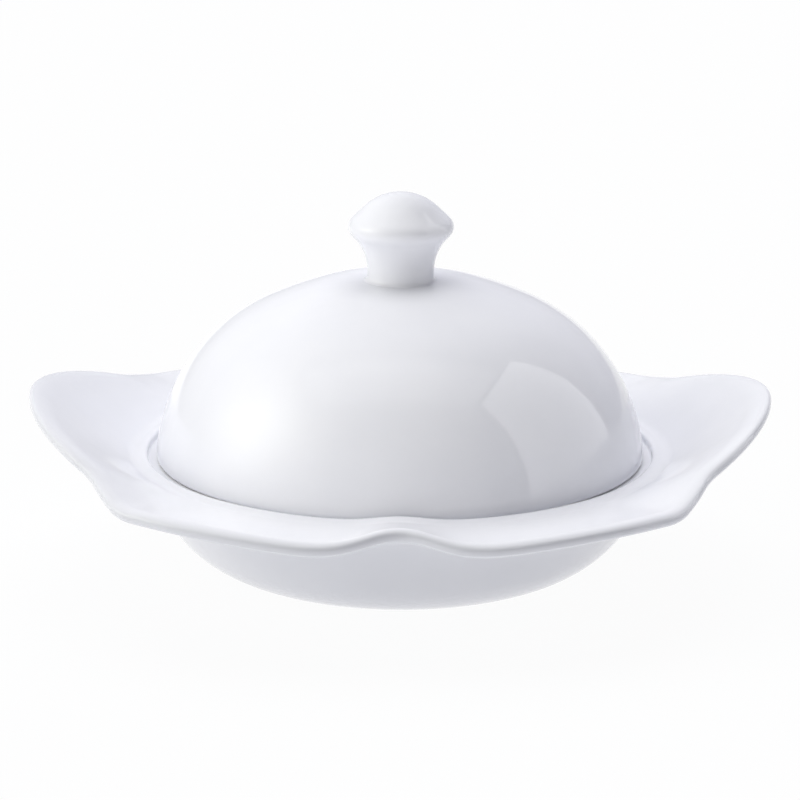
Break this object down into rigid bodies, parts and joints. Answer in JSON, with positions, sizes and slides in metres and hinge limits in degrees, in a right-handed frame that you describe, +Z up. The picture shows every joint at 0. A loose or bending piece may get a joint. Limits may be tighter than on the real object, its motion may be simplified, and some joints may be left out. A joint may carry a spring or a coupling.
{
  "type": "lidded dessert bowl",
  "caption": "Glazed white porcelain dessert bowl with a wavy flange raised into ears at the sides, and a domed lid with a mushroom knob that lifts out of a recess at the mouth.",
  "frame": {"origin": "centre of the foot ring, on the table", "axes": "+Z up along the axis of the bowl and lid, +X towards the right ear, -Y towards the viewer of the picture"},
  "size_m": [0.18, 0.1628, 0.0938],
  "materials": {
    "white_glaze": "high-gloss clear glaze over white porcelain",
    "bare_porcelain": "matt unglazed resting face under a glazed side"
  },
  "bodies": {
    "bowl": {"bowl_body": "white_glaze", "rim_flange": "white_glaze", "foot_ring": "bare_porcelain"},
    "lid": {"lid_dome": "white_glaze", "lid_knob": "white_glaze"}
  },
  "joints": [
    {"name": "lid_lift", "type": "slide", "parent": "bowl", "child": "lid", "axis": [0, 0, 1], "range_m": [0, 0.06]}
  ]
}
